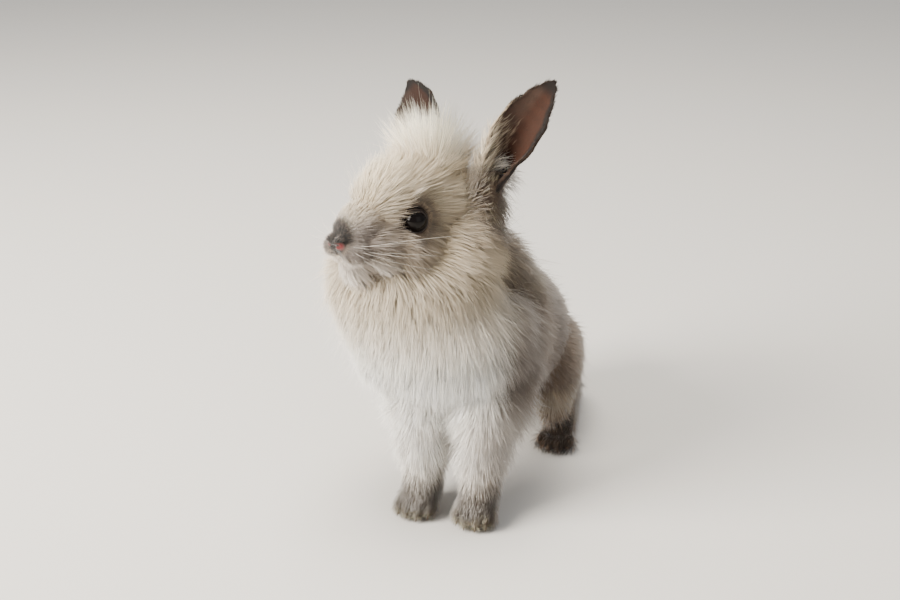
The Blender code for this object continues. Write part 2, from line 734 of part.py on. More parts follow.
def finish(obj):
    """Gives a part its own material, smooth shading and its place over the origin."""
    colour, roughness, metallic = FINISHES[obj.name.split("_")[0]]
    material = bpy.data.materials.new(obj.name)
    material.use_nodes = True
    shader = material.node_tree.nodes["Principled BSDF"]
    shader.inputs["Base Color"].default_value = (*colour, 1.0)
    shader.inputs["Roughness"].default_value = roughness
    shader.inputs["Metallic"].default_value = metallic
    obj.data.materials.clear()
    obj.data.materials.append(material)
    obj.data.transform(Matrix.Translation(STAND * MM))
    for polygon in obj.data.polygons:
        polygon.use_smooth = True
    obj.data.set_sharp_from_angle(angle=math.radians(40.0))


def build():
    body = rounded("whole_body", body_masses, MESH_STEP_BODY, 6, 0.066)
    head = rounded("whole_head", head_masses, MESH_STEP_HEAD, 5, 0.046)
    surface = Surface(body, head)
    surface.locks = plan_locks(surface)
    part_body(body, surface)
    make_head(head, surface)
    for label, side in SIDES:
        make_eye(label, side)
        ear_solid(f"ear_{label}", label, side, 0.0, PARTS)
    for obj in PARTS.objects:
        finish(obj)


build()
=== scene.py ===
import math

import bmesh
import bpy
import numpy as np
from mathutils import Matrix, Vector
from mathutils.bvhtree import BVHTree
from mathutils.kdtree import KDTree


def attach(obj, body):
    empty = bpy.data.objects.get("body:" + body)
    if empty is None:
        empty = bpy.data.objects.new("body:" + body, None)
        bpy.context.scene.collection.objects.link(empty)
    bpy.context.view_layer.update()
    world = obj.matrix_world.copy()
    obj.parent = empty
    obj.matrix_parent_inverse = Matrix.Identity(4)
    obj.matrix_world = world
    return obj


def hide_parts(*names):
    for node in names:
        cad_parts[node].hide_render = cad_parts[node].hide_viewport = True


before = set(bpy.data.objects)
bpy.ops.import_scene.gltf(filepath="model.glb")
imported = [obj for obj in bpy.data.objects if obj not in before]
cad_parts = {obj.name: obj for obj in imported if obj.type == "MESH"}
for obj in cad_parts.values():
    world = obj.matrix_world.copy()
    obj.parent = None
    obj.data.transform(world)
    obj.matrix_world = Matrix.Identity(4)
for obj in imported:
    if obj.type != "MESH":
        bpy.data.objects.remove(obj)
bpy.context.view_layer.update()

# Skin.
# The rabbit's skin over its flesh: one closed hide from nose to tail, lying inside the coat by the
# depth of the hair. It is made from rounded masses of skull, neck, ribs, haunches and legs, fused
# and softened, then creased where the lips, nostrils and cleft are.
MM = 0.001
STAND = Vector((8.56, -9.53, 0.0))
HEAD = (
    Matrix.Translation(Vector((-23.0, -43.5, 127.5)) + STAND)
    @ Matrix.Rotation(math.radians(-32.0), 4, "Z")
)
HEAD_R = HEAD.to_3x3()
EYE_R = 4.8
EYE_OUT = 13.4
EYE_FORE = -1.0
EAR_SEAT = (19.5, 31.5, 11.0)
EAR_LEAN = {"left": Vector((20.0, 11.5, 38.8)), "right": Vector((-34.1, 12.9, 26.0))}
SIDES = (("left", 1), ("right", -1))
SKIN_STEP = 0.95


def bead(bm, centre, radii, turn=Matrix.Identity(4), sides=20, place=Matrix.Translation(STAND)):
    size = Matrix.Diagonal((radii[0], radii[1], radii[2], 1.0))
    matrix = Matrix.Scale(MM, 4) @ place @ Matrix.Translation(centre) @ turn @ size
    ball = bmesh.new()
    bmesh.ops.create_uvsphere(ball, u_segments=sides, v_segments=sides // 2 + 2, radius=1.0, matrix=matrix)
    mesh = bpy.data.meshes.new("ball")
    ball.to_mesh(mesh)
    ball.free()
    bm.from_mesh(mesh)
    bpy.data.meshes.remove(mesh)


def spline(points, count):
    rows = [Vector(p) for p in points]
    ends = [2 * rows[0] - rows[1]] + rows + [2 * rows[-1] - rows[-2]]
    out = []
    for i in range(1, len(ends) - 2):
        a, b, c, d = ends[i - 1 : i + 3]
        for k in range(count):
            t = k / count
            out.append(0.5 * (2 * b + (c - a) * t + (2 * a - 5 * b + 4 * c - d) * t * t
                              + (3 * b - a - 3 * c + d) * t ** 3))
    return out + [rows[-1]]


def chain(bm, stations, depth, count=5):
    centres = spline([s[0] for s in stations], count)
    radii = spline([s[1] for s in stations], count)
    for centre, radius in zip(centres, radii):
        bead(bm, centre, [max(1.5, r - depth) for r in radius])


def mirrored(point, side):
    return Vector((point[0] * side, point[1], point[2]))


# Centre and radii of each mass over the coat's tips, in millimetres. The skin lies deeper.
TRUNK = (
    ((-8, -36, 68), (35.4, 23.4, 25.4)),
    ((-5, -19, 69), (34.2, 26.2, 30.2)),
    ((-1, 6, 63), (33, 30, 35)),
    ((0, 27, 53), (33, 31, 36)),
    ((0, 46, 44), (31, 29, 33.5)),
    ((0, 57, 36), (25, 21, 25)),
)
NECK = (
    ((-11, -32, 80), (35.0, 27.6, 22.0)),
    ((-17, -34, 92), (33.7, 25.2, 15.2)),
    ((-18, -34, 104), (31.2, 24.2, 15.2)),
    ((-12, -27, 116), (26.2, 21.2, 15.2)),
)
NAPE = (((-1, -8, 86), (26.5, 19.5, 15.5)), ((-4, -16, 100), (23.5, 17.5, 13.5)))
FORELEG = (
    ((15, -28, 58), (14, 15, 15)),
    ((13.5, -38.5, 43), (13.2, 14.8, 13)),
    ((12.6, -42, 28), (10.6, 11.0, 10.4)),
    ((12.4, -44, 14), (9.2, 9.4, 8)),
    ((12.4, -46, 7), (9, 9.2, 7.2)),
)
HINDFOOT = (
    ((29, 26, 6), (9, 8.5, 6.6)),
    ((28, 38, 6.5), (8.4, 9, 6.9)),
    ((26, 54, 6.6), (7.6, 9, 7)),
    ((24.5, 70, 7), (7.4, 8, 7.4)),
)
THIGH = (
    ((20, 60, 29), (14, 20, 21)),
    ((21.5, 46, 32), (16, 23, 25)),
    ((24, 32, 28), (14, 16, 20)),
    ((27, 24, 16), (9, 9, 10)),
)
TAIL = (((0, 69, 38), (9, 9, 9)), ((0, 77, 41), (10.5, 9, 10.5)), ((0, 83, 45), (9.5, 8, 10.5)))
FORE_TOES = ((-6.2, -52.0), (-2.2, -54.5), (2.4, -54.5), (6.4, -52.5))
HIND_TOES = ((-5.8, 19.5), (-1.9, 17.5), (2.2, 17.8), (6.2, 20.5))
TOES = ((FORE_TOES, 12.4), (HIND_TOES, 29.0))  # toe tips, and how far out their foot stands
# In the head's frame: centre and radii, a pitch in degrees on the midline, and the coat's depth.
SKULL = (
    ((0, 11, 1), (18, 24.5, 17.5), 0, 2.6),
    ((0, -5, 3.5), (13.8, 15, 12.5), -24, 2.2),
    ((0, -16.5, -2.8), (10, 13.5, 9.4), -30, 1.5),
    ((0, -19.5, -8.5), (9.6, 9.8, 8.6), -10, 1.2),
    ((0, -19, -15.6), (6.8, 7.8, 5.8), 10, 1.2),
    ((0, -4, -12), (12, 16, 11), 6, 2.2),
    ((0, 18.5, 14), (14, 13, 11), 0, 5.0),
)
SKULL_PAIRS = (
    ((10.6, 1, -9.5), (9.4, 14.5, 12), 2.4),
    ((7.4, -11, -9), (7.4, 11.5, 9.4), 1.6),
    ((8.8, 1, 5), (6.6, 10, 6.8), 1.5),
    ((5, -23, -10), (6, 6.4, 5.5), 1.0),
    ((2, -27.8, -6.6), (2.9, 3, 2.7), 0.4),
)

bm = bmesh.new()
chain(bm, TRUNK, 4.6)
chain(bm, NECK, 2.0)
chain(bm, NAPE, 2.5)
chain(bm, TAIL, 4.0)
for _, side in SIDES:
    for limb, depth in ((FORELEG, 1.6), (HINDFOOT, 2.4), (THIGH, 4.6)):
        chain(bm, [(mirrored(c, side), r) for c, r in limb], depth)
    bead(bm, mirrored((12.4, -49, 6.2), side), (8.2, 7.6, 5.8))
    bead(bm, mirrored((12.5, -37.0, 51), side), (13.0, 13.4, 13.5))
    for toes, across in TOES:
        for x, y in toes:
            bead(bm, mirrored((across + x, y, 3.9), side), (2.5, 4.2, 3.7), sides=14)
for centre, radii, pitch, depth in SKULL:
    bead(bm, centre, [r - depth for r in radii], Matrix.Rotation(math.radians(-pitch), 4, "X"), 24, HEAD)
for _, side in SIDES:
    for centre, radii, depth in SKULL_PAIRS:
        bead(bm, mirrored(centre, side), [r - depth for r in radii], sides=24, place=HEAD)
    seat = mirrored(EAR_SEAT, side)
    start = Vector((9.0 * side, 4.0, 21.0)).normalized()
    for reach, radius in ((-11.0, 8.4), (-6.0, 7.0), (-2.0, 5.8)):
        bead(bm, seat + start * reach, [radius] * 3, place=HEAD)


def placed(name, data):
    """A new object in the scene, at the origin, that shows data."""
    obj = bpy.data.objects.new(name, data)
    bpy.context.scene.collection.objects.link(obj)
    return obj


def shaped(name, bm):
    """A new object whose mesh is what bm holds."""
    mesh = bpy.data.meshes.new(name)
    bm.to_mesh(mesh)
    bm.free()
    return placed(name, mesh)


skin = shaped("skin", bm)


def modified(obj):
    """Bakes an object's modifiers into its mesh."""
    bpy.context.view_layer.update()
    graph = bpy.context.evaluated_depsgraph_get()
    mesh = bpy.data.meshes.new_from_object(obj.evaluated_get(graph))
    obj.modifiers.clear()
    obj.data = mesh


fuse = skin.modifiers.new("fuse", "REMESH")
fuse.mode = "VOXEL"
fuse.voxel_size = SKIN_STEP * MM
soften = skin.modifiers.new("soften", "SMOOTH")
soften.factor = 0.5
soften.iterations = 7
modified(skin)

# The muzzle's faces are split once, so that lips and nostrils can be drawn in them.
bm = bmesh.new()
bm.from_mesh(skin.data)
to_head = HEAD.inverted()
muzzle = [f for f in bm.faces if (to_head @ (f.calc_center_median() / MM)).y < -15.0
          and f.calc_center_median().z > 0.095]
bmesh.ops.subdivide_edges(bm, edges=list({e for f in muzzle for e in f.edges}), cuts=1, use_grid_fill=True)
bm.to_mesh(skin.data)
bm.free()


def points_of(mesh):
    out = np.empty(len(mesh.vertices) * 3)
    mesh.vertices.foreach_get("co", out)
    return out.reshape(-1, 3) / MM


def normals_of(mesh):
    out = np.empty(len(mesh.vertices) * 3)
    mesh.vertices.foreach_get("normal", out)
    return out.reshape(-1, 3)


def in_head(points):
    inverse = np.array(HEAD.inverted())
    return points @ inverse[:3, :3].T + inverse[:3, 3]


def ramp(x, low, high):
    t = np.clip((x - low) / (high - low), 0.0, 1.0)
    return t * t * (3 - 2 * t)


def line_distance(points, path):
    """Distance of each point from a path of short straight runs."""
    path = np.array(path, float)
    best = np.full(len(points), 1e9)
    for a, b in zip(path, path[1:]):
        run = b - a
        t = np.clip(((points - a) @ run) / (run @ run), 0, 1)
        best = np.minimum(best, np.linalg.norm(points - a - t[:, None] * run, axis=1))
    return best


# Creases in the head's frame: path, half width and depth.
CREASES = [([(0, -33, -9.6), (0, -33, -12.6), (0, -31, -14.6)], 0.55, 0.9)]
for side in (1, -1):
    CREASES.append(([(0, -31.5, -14.0), (2.2 * side, -30.5, -14.9), (5.2 * side, -28, -15.2),
                     (8.2 * side, -23.5, -14.2), (9.4 * side, -18.5, -12.8)], 0.75, 1.3))
    CREASES.append(([(0.7 * side, -32.8, -9.8), (2.2 * side, -32.2, -7.9),
                     (4.2 * side, -30.0, -6.8)], 0.6, 1.7))
points = points_of(skin.data)
normals = normals_of(skin.data)
local = in_head(points)
near = np.where((local[:, 1] < -12) & (np.abs(local[:, 0]) < 14)
                & (local[:, 2] < 4) & (local[:, 2] > -24))[0]
for path, width, depth in CREASES:
    fitted = []
    for spot in np.array(path):
        gaps = np.linalg.norm(local[near] - spot, axis=1)
        fitted.append(local[near][np.argmin(gaps)])
    reach = line_distance(local[near], fitted)
    points[near] -= normals[near] * (depth * np.exp(-((reach / width) ** 2)))[:, None]
skin.data.vertices.foreach_set("co", (points * MM).ravel())
skin.data.update()


def cut_sphere(obj, centre, radius):
    ball = bmesh.new()
    bead(ball, centre, [radius] * 3, sides=40, place=HEAD)
    cutter = shaped("ball", ball)
    cut = obj.modifiers.new("cut", "BOOLEAN")
    cut.operation = "DIFFERENCE"
    cut.solver = "EXACT"
    cut.object = cutter
    modified(obj)
    bpy.data.objects.remove(cutter)


for _, side in SIDES:
    cut_sphere(skin, (EYE_OUT * side, EYE_FORE, 0), EYE_R + 0.12)
bm = bmesh.new()
bm.from_mesh(skin.data)
for vert in bm.verts:
    vert.co.z = max(vert.co.z, 0.0002)
bmesh.ops.triangulate(bm, faces=bm.faces)
bm.to_mesh(skin.data)
bm.free()


def smooth(obj):
    for polygon in obj.data.polygons:
        polygon.use_smooth = True


def unwrap(obj, margin):
    """Lays the object's faces out flat in the map that the export bakes to."""
    bpy.context.view_layer.objects.active = obj
    obj.select_set(True)
    obj.data.uv_layers.new(name="OFBake")
    bpy.ops.object.mode_set(mode="EDIT")
    bpy.ops.mesh.select_all(action="SELECT")
    bpy.ops.uv.smart_project(angle_limit=math.radians(66), island_margin=margin)
    bpy.ops.object.mode_set(mode="OBJECT")


smooth(skin)
unwrap(skin, 0.002)


def linear(code):
    """An sRGB hex colour as linear red, green and blue."""
    out = []
    for i in (1, 3, 5):
        c = int(code[i : i + 2], 16) / 255
        out.append(c / 12.92 if c <= 0.04045 else ((c + 0.055) / 1.055) ** 2.4)
    return np.array(out)


NOSE = np.array([0.0, -31.5, -8.5])
UNDERFUR = 0.80  # the brightness of the hide, as a share of the hair over it


def gap_from(points, *place):
    return np.linalg.norm(points - np.array(place), axis=1)


def markings(points):
    """The coat's colour at each place: cream, a pale chest, tan flanks and dark sable points, with painted
    shade on the side and foreleg turned from the key light, the low flank, the nape, the hind feet and under
    the ears.
    """
    body = points - np.array(STAND)
    head = in_head(points)
    x, y, z = body.T
    colour = np.tile(linear("#E8D8BC"), (len(points), 1))

    def lay(code, share):
        nonlocal colour
        share = np.clip(share, 0, 1)[:, None]
        colour = colour * (1 - share) + linear(code) * share

    on_head = ramp(head[:, 2], -26, -18) * ramp(z, 98, 108) * (head[:, 1] < 36)
    # Body: pale below and in front, tan and then grey brown over the shoulder, flank and haunch. The grey
    # brown on the shoulder and side turned from the key light, and on the low flank, is partly coat colour
    # and partly painted shade.
    lay("#FBF5EA", ramp(-y, 8, 34) * ramp(z, 14, 34) * (1 - ramp(z, 74, 112)))
    # The shoulder, side and neck turned from the key light: grey brown that is partly tan coat and partly
    # painted shade of that side.
    tan_and_shade_side = ramp(x + 0.45 * (y + 30), 5, 17) * (x > -4)
    lay("#5C493A", 0.94 * tan_and_shade_side * (1 - ramp(z, 98, 110)) * ramp(z, 34, 56))
    lay("#7D6957", ramp(y, -26, 0) * ramp(z, 20, 44))
    # Darker low flank behind the foreleg: partly tan coat, partly painted shade where the foreleg and body
    # shadow it.
    lay("#5F4D3F", 0.94 * ramp(y, -18, 12) * ramp(z, 14, 34))
    lay("#A08A76", 0.8 * ramp(y, 24, 44) * ramp(z, 20, 36))
    lay("#C5B6A4", 0.6 * (1 - ramp(z, 16, 30)) * ramp(y, 0, 20))
    lay("#6B5646", ramp(y, 8, 20) * (1 - ramp(z, 14, 30)) * (np.abs(x) > 12))
    # Near-black hind feet under the haunch: partly the dark sable point, partly painted shade.
    lay("#2C2118", ramp(y, 4, 12) * (1 - ramp(z, 9, 15)) * (np.abs(x) > 12) * (1 - ramp(y, 30, 42)))
    lay("#8A7562", 0.6 * ramp(z, 8, 12) * (1 - ramp(z, 14, 22)) * ramp(y, 24, 34) * (np.abs(x) > 12))
    on_tail = ramp(y, 62, 69) * (1 - ramp(np.abs(x), 12, 16)) * ramp(z, 26, 31)
    lay("#4C3B2E", 0.96 * on_tail)
    lay("#E2D5C0", 0.9 * on_tail * (1 - ramp(z, 29, 35)))
    lay("#EAE4DC", 0.7 * (1 - ramp(z, 36, 52)) * (y < -20))
    # Greyer outer side of the foreleg turned from the key light: painted shade.
    lay("#94867A", 0.7 * ramp(x, 5, 19) * (1 - ramp(z, 44, 60)) * (y < -18))
    lay("#453A31", 0.92 * (1 - ramp(z, 10, 24)) * (y < -20))
    lay("#362C25", 0.85 * (1 - ramp(z, 4, 11)) * (y < -44))
    lay("#94804A", 0.45 * (1 - ramp(z, 2, 6)) * (1 - ramp(y, -57, -53)) * (y < -44))
    # Head and neck.
    # Cream over the head and neck, held back where the far side carries its painted shade.
    lay("#C2AC88", 0.88 * ramp(z, 72, 116) * (1 - ramp(head[:, 2], 8, 16))
        * (1 - 0.85 * tan_and_shade_side * (1 - ramp(z, 98, 110))))
    # Darker nape and back of the neck: partly coat colour, partly painted shade of the neck turned from the
    # key light.
    lay("#56432F", 0.9 * ramp(y, -37, -18) * ramp(z, 78, 96) * (1 - ramp(head[:, 2], 6, 14)))
    lay("#E3CEA6", on_head * ramp(head[:, 2], -6, 6))
    lay("#FFEBC8", on_head * ramp(head[:, 2], 12, 20) * ramp(head[:, 1], -6, 8))
    lay("#B39C80", 0.7 * ramp(head[:, 1], 8, 22) * (1 - ramp(np.abs(head[:, 2]), 8, 16))
        * ramp(z, 104, 116))
    from_nose = np.linalg.norm((head - NOSE) * np.array([1.0, 0.85, 1.1]), axis=1)
    side_of = np.abs(head[:, 0])
    lay("#B5A288", 0.6 * on_head * (1 - ramp(from_nose, 24, 42)) * (1 - ramp(head[:, 2], 4, 12)))
    lay("#968779", 0.8 * on_head * (1 - ramp(from_nose, 13, 27)) * ramp(side_of, 2.5, 7))
    lay("#8C8077", 0.75 * on_head * (1 - ramp(from_nose, 7, 18)) * ramp(head[:, 2], -13, -8))
    lay("#E6D8CA", 0.9 * (1 - ramp(from_nose, 9, 26)) * (1 - ramp(head[:, 2], -15, -9)) * on_head)
    for side in (1, -1):
        stripe = line_distance(head, [(5.5 * side, -27, -6), (9 * side, -17, -5), (13 * side, -6, -6.5)])
        lay("#72645A", 0.72 * (1 - ramp(stripe, 3.0, 7.5)) * on_head)
    lay("#1D1917", on_head * (1 - ramp(gap_from(head, 0, -31.0, -4.4), 6.2, 9.0)))
    lay("#B08A82", 0.6 * on_head * (1 - ramp(gap_from(head, 0, -31.5, -13.5), 2.0, 5.0)))
    for side in (1, -1):
        from_eye = gap_from(head, EYE_OUT * side, EYE_FORE, 0)
        below = gap_from(head, 14.0 * side, -7.0, -6.5)
        lay("#7D6D5D", 0.6 * (1 - ramp(below, 5, 12)))
        lay("#A08D74", 0.55 * (1 - ramp(from_eye, 9, 20)) * on_head)
        lay("#65564A", 0.85 * (1 - ramp(from_eye, 5.8, 10.0)))
        lay("#33271F", 1 - ramp(from_eye, 5.3, 6.5))
        # Dark patch under and behind each ear's root: painted shade under the ear.
        seat = gap_from(head, 20.5 * side, 33, 1)
        lay("#463529", 0.94 * (1 - ramp(seat, 9, 17)))
        notch = gap_from(head, 25.0 * side, 29, 9)
        lay("#4A382C", 0.9 * (1 - ramp(notch, 5, 10)))
    return colour


# Raw skin shows only at the lips, the cleft under the nose and inside the nostrils.
def bare(points):
    head = in_head(points)
    share = np.zeros(len(points))
    for i, (path, width, depth) in enumerate(CREASES):
        gap = line_distance(head, [(p[0], p[1] + 1.2, p[2]) for p in path])
        share = np.maximum(share, (0.95 if i in (0, 2, 4) else 0.7) * (1 - ramp(gap, 0.6, 2.0)))
    return share * (head[:, 1] < -22) * (points[:, 2] > 90)


def paint(obj, name, colours):
    layer = obj.data.color_attributes.new(name, "FLOAT_COLOR", "POINT")
    rgba = np.ones((len(colours), 4))
    rgba[:, :3] = colours
    layer.data.foreach_set("color", rgba.ravel())


points = points_of(skin.data)
hide = markings(points) * UNDERFUR
raw = bare(points)[:, None]
paint(skin, "Coat", hide * (1 - raw) + (linear("#A2736E") * (1 - raw) + linear("#5C1B1F") * raw) * raw)


def node(tree, kind, settings=None, **links):
    """Adds a node, sets its properties and inputs, and links what is another node's output."""
    made = tree.nodes.new(kind)
    for key, value in (settings or {}).items():
        setattr(made, key, value)
    for key, value in links.items():
        by_index = key[0] == "i" and key[1:].isdigit()
        socket = made.inputs[int(key[1:]) if by_index else key.replace("_", " ")]
        if isinstance(value, bpy.types.NodeSocket):
            tree.links.new(value, socket)
        else:
            socket.default_value = value
    return made


def coat_material(name, attribute, roughness, sheen, grain_mm, depth_mm, spread, soft=0.0):
    material = bpy.data.materials.new(name)
    material.use_nodes = True
    tree = material.node_tree
    shader = tree.nodes["Principled BSDF"]
    colour = node(tree, "ShaderNodeAttribute", {"attribute_name": attribute})
    place = node(tree, "ShaderNodeTexCoord")
    noise = node(tree, "ShaderNodeTexNoise", Vector=place.outputs["Object"],
                 Scale=1.0 / (grain_mm * MM), Detail=3.0)
    shade = node(tree, "ShaderNodeMapRange", Value=noise.outputs["Fac"], To_Min=1 - spread,
                 To_Max=1 + spread)
    tinted = node(tree, "ShaderNodeVectorMath", {"operation": "SCALE"}, i0=colour.outputs["Color"],
                  Scale=shade.outputs["Result"])
    tree.links.new(tinted.outputs["Vector"], shader.inputs["Base Color"])
    if depth_mm:
        bump = node(tree, "ShaderNodeBump", Height=noise.outputs["Fac"], Distance=depth_mm * MM, Strength=0.6)
        tree.links.new(bump.outputs["Normal"], shader.inputs["Normal"])
    shader.inputs["Roughness"].default_value = roughness
    shader.inputs["Sheen Weight"].default_value = sheen
    shader.inputs["Sheen Roughness"].default_value = 0.5
    shader.inputs["Specular IOR Level"].default_value = 0.25
    shader.inputs["Subsurface Weight"].default_value = soft
    shader.inputs["Subsurface Radius"].default_value = (0.003, 0.0025, 0.002)
    shader.inputs["Subsurface Scale"].default_value = 1.0
    return material


# Hide with close underfur: matt, darker than the coat over it, with the grain of short hair.
hide_material = coat_material("rabbit hide with close underfur", "Coat", 0.85, 0.2, 0.5, 0.35, 0.10)
skin.data.materials.clear()
skin.data.materials.append(hide_material)
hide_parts("head", "neck", "torso", "tail", "foreleg_left", "foreleg_right", "forepaw_left",
            "forepaw_right", "thigh_left", "thigh_right", "hindfoot_left", "hindfoot_right")
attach(skin, "root")

# Coat.
# Soft baby wool with longer guard hair: short and flat on the face and feet, plush on the body and
# long and loose on the neck, chest and crown, where it gathers into fine wisps. Each tuft is a thin
# solid spike rooted in the skin, bent along the lie of the coat, and joined with its neighbours.
PIECE_LIMIT = 195000  # triangles in one piece of coat
OFF_FLOOR = 0.25  # lowest height of any hair
chance = np.random.default_rng(5)


def unit(v):
    return v / np.maximum(np.linalg.norm(v, axis=1, keepdims=True), 1e-9)


def turned(vector):
    return np.array(HEAD_R @ Vector(vector))


def lie_of(points):
    """The way the hair lies at each place, before it is laid on the surface."""
    body = points - np.array(STAND)
    head = in_head(points)
    x, y, z = body.T
    hx, hy, hz = head.T
    lie = np.tile([0.0, 0.12, -1.0], (len(points), 1))

    def lay(vector, share):
        nonlocal lie
        lie = lie * (1 - share[:, None]) + unit(np.broadcast_to(vector, lie.shape)) * share[:, None]

    lay((0.0, 0.85, -0.5), ramp(y, -24, 4) * ramp(z, 26, 48))
    lay((0.0, 0.45, -0.85), ramp(y, 6, 20) * (1 - ramp(z, 40, 62)))
    lay((0.0, -0.9, -0.25), (1 - ramp(z, 8, 15)))
    tail = ramp(y, 70, 75) * ramp(z, 28, 34) * (np.abs(x) < 15)
    lay((0.0, 0.35, 1.0), tail)
    on_head = ramp(hz, -24, -16) * ramp(z, 100, 108) * (1 - ramp(hy, 32, 40))
    nose = np.array(HEAD @ Vector((0.0, -31.0, -7.0)))
    away = unit(points - nose)
    face = away + np.array([0, 0, -0.25])
    lay(face, on_head)
    sideways = np.stack([np.sign(hx) * 0.35, np.full(len(hx), 0.8), np.full(len(hx), -0.75)], axis=1)
    lay(sideways @ np.array(HEAD_R).T, on_head * (1 - ramp(hz, -9, 3)) * ramp(hy, -14, 0))
    crown = ramp(hz, 11, 16) * ramp(hy, 1, 9) * (1 - ramp(np.abs(hx), 19, 26)) * on_head
    rise = np.stack([0.035 * hx, -0.30 + 0.012 * hy, np.ones(len(hx))], axis=1)
    lay(rise @ np.array(HEAD_R).T, crown)
    for side in (1, -1):
        before_ear = gap_from(head, 17.0 * side, 25.0, 10.0)
        lay(turned((14.0 * side + 6.0, 4.0, 40.0)), 0.85 * (1 - ramp(before_ear, 7, 14)))
        behind = gap_from(head, 20.5 * side, 34.0, 0.0)
        lay((0.0, 0.5, -0.9), (1 - ramp(behind, 7, 14)) * (hz < 8))
        eye = np.array(HEAD @ Vector((EYE_OUT * side, EYE_FORE, 0)))
        gap = np.linalg.norm(points - eye, axis=1)
        radial = unit(points - eye - turned((6.0 * side, 0, 0)))
        lay(radial + unit(lie) * 0.4, 0.85 * (1 - ramp(gap, 6.0, 9.5)))
    return lie


def build_of(points):
    """Length and lift of the hair, in millimetres and as a share of upright."""
    body = points - np.array(STAND)
    head = in_head(points)
    x, y, z = body.T
    hx, hy, hz = head.T
    length = np.full(len(points), 8.0)
    lift = np.full(len(points), 0.20)

    def lay(long, up, share):
        nonlocal length, lift
        length = length * (1 - share) + long * share
        lift = lift * (1 - share) + up * share

    lay(16.5, 0.34, ramp(-y, -2, 14) * ramp(z, 36, 86))
    lay(9.5, 0.40, (1 - ramp(z, 34, 60)) * (y < -18))
    lay(14.0, 0.58, ramp(z, 40, 47) * (1 - ramp(z, 50, 62)) * (y < -22))
    lay(5.5, 0.30, (1 - ramp(z, 16, 34)) * (y < -18))
    lay(4.0, 0.30, 1 - ramp(z, 8, 16))
    lay(5.5, 0.34, (1 - ramp(z, 10, 20)) * (y > 14))
    lay(11.0, 0.5, ramp(y, 68, 75) * ramp(z, 26, 34) * (np.abs(x) < 15))
    lay(15.5, 0.28, ramp(z, 76, 102) * (1 - ramp(y, -14, 14)))
    on_head = ramp(hz, -24, -17) * ramp(z, 98, 108) * (1 - ramp(hy, 28, 38))
    from_nose = np.linalg.norm(head - NOSE, axis=1)
    face = 1.7 + 1.6 * ramp(from_nose, 3, 11) + 3.6 * ramp(from_nose, 10, 22) + 5.0 * ramp(from_nose, 20, 36)
    lay(face, 0.26 + 0.10 * ramp(from_nose, 14, 34), on_head)
    lay(12.0, 0.58, on_head * ramp(hz, 7, 14) * ramp(hy, -18, 0))
    lay(10.5, 0.32, on_head * (1 - ramp(hz, -8, 3)) * ramp(from_nose, 14, 26))
    lay(18.0, 0.36, on_head * (1 - ramp(hz, -16, -8)) * ramp(hy, -20, -7))
    lay(15.0, 0.32, on_head * (1 - ramp(hz, -19, -14.5)) * ramp(hy, -29, -23))
    lay(12.0, 0.45, on_head * ramp(hy, 6, 18) * (1 - ramp(hz, 4, 12)))
    lay(21.0, 0.85, ramp(hz, 11, 17) * ramp(hy, 0, 11) * (1 - ramp(np.abs(hx), 19, 26)) * on_head)
    for side in (1, -1):
        before_ear = gap_from(head, 17.0 * side, 25.0, 10.0)
        lay(11.5, 0.34, 1 - ramp(before_ear, 7, 14))
        behind = gap_from(head, 20.5 * side, 34.0, 0.0)
        lay(10.0, 0.40, 1 - ramp(behind, 8, 16))
        outer_seat = gap_from(head, 25.0 * side, 29.0, 9.0)
        lay(3.5, 0.20, 1 - ramp(outer_seat, 4, 9))
        gap = gap_from(head, EYE_OUT * side, EYE_FORE, 0)
        lay(1.4, 0.22, 1 - ramp(gap, 5.9, 9.3))
    return length, lift


def faces_of(mesh):
    """A mesh's triangles: their corners, their areas and their corners on the bake map."""
    mesh.calc_loop_triangles()
    tri = np.empty(len(mesh.loop_triangles) * 3, dtype=np.int64)
    mesh.loop_triangles.foreach_get("vertices", tri)
    loops = np.empty(len(tri), dtype=np.int64)
    mesh.loop_triangles.foreach_get("loops", loops)
    uv = np.empty(len(mesh.loops) * 2)
    mesh.uv_layers["OFBake"].data.foreach_get("uv", uv)
    tri = tri.reshape(-1, 3)
    corner = points_of(mesh)[tri]
    area = 0.5 * np.linalg.norm(np.cross(corner[:, 1] - corner[:, 0], corner[:, 2] - corner[:, 0]), axis=1)
    return tri, area, uv.reshape(-1, 2)[loops.reshape(-1, 3)]


def scatter(mesh, faces, count, weight):
    """Random places over a mesh: points, normals, places on its map, and each one's triangle."""
    tri, area, on_map = faces
    total = np.cumsum(area * weight)
    pick = np.searchsorted(total, chance.random(count) * total[-1])
    a, b = chance.random(count), chance.random(count)
    flip = a + b > 1
    a[flip], b[flip] = 1 - a[flip], 1 - b[flip]
    share = np.stack([1 - a - b, a, b], axis=1)[:, :, None]
    spot = (points_of(mesh)[tri[pick]] * share).sum(axis=1)
    normal = unit((normals_of(mesh)[tri[pick]] * share).sum(axis=1))
    return spot, normal, (on_map[pick] * share).sum(axis=1), pick


def grow(spot, normal, lie, length, lift, droop, rings, sink=0.7):
    """Bends each tuft from upright to lying: returns ring centres, the last one the tip."""
    along = unit(lie - normal * (lie * normal).sum(axis=1, keepdims=True))
    lift = np.clip(lift, 0.05, 0.98)[:, None]
    heading = unit(normal * np.sqrt(lift) * 1.15 + along * (1 - lift) * 1.1)
    path = [spot - normal * sink]
    step = ((length + sink) / rings)[:, None]
    for k in range(rings):
        path.append(path[-1] + heading * step)
        heading = unit(heading + along * (0.35 * (1 - lift)) * (2.6 / rings)
                       - normal * (0.30 * (1 - lift)) * (2.6 / rings)
                       + np.array([0, 0, -1.0]) * droop[:, None] * (2.6 / rings))
    return path


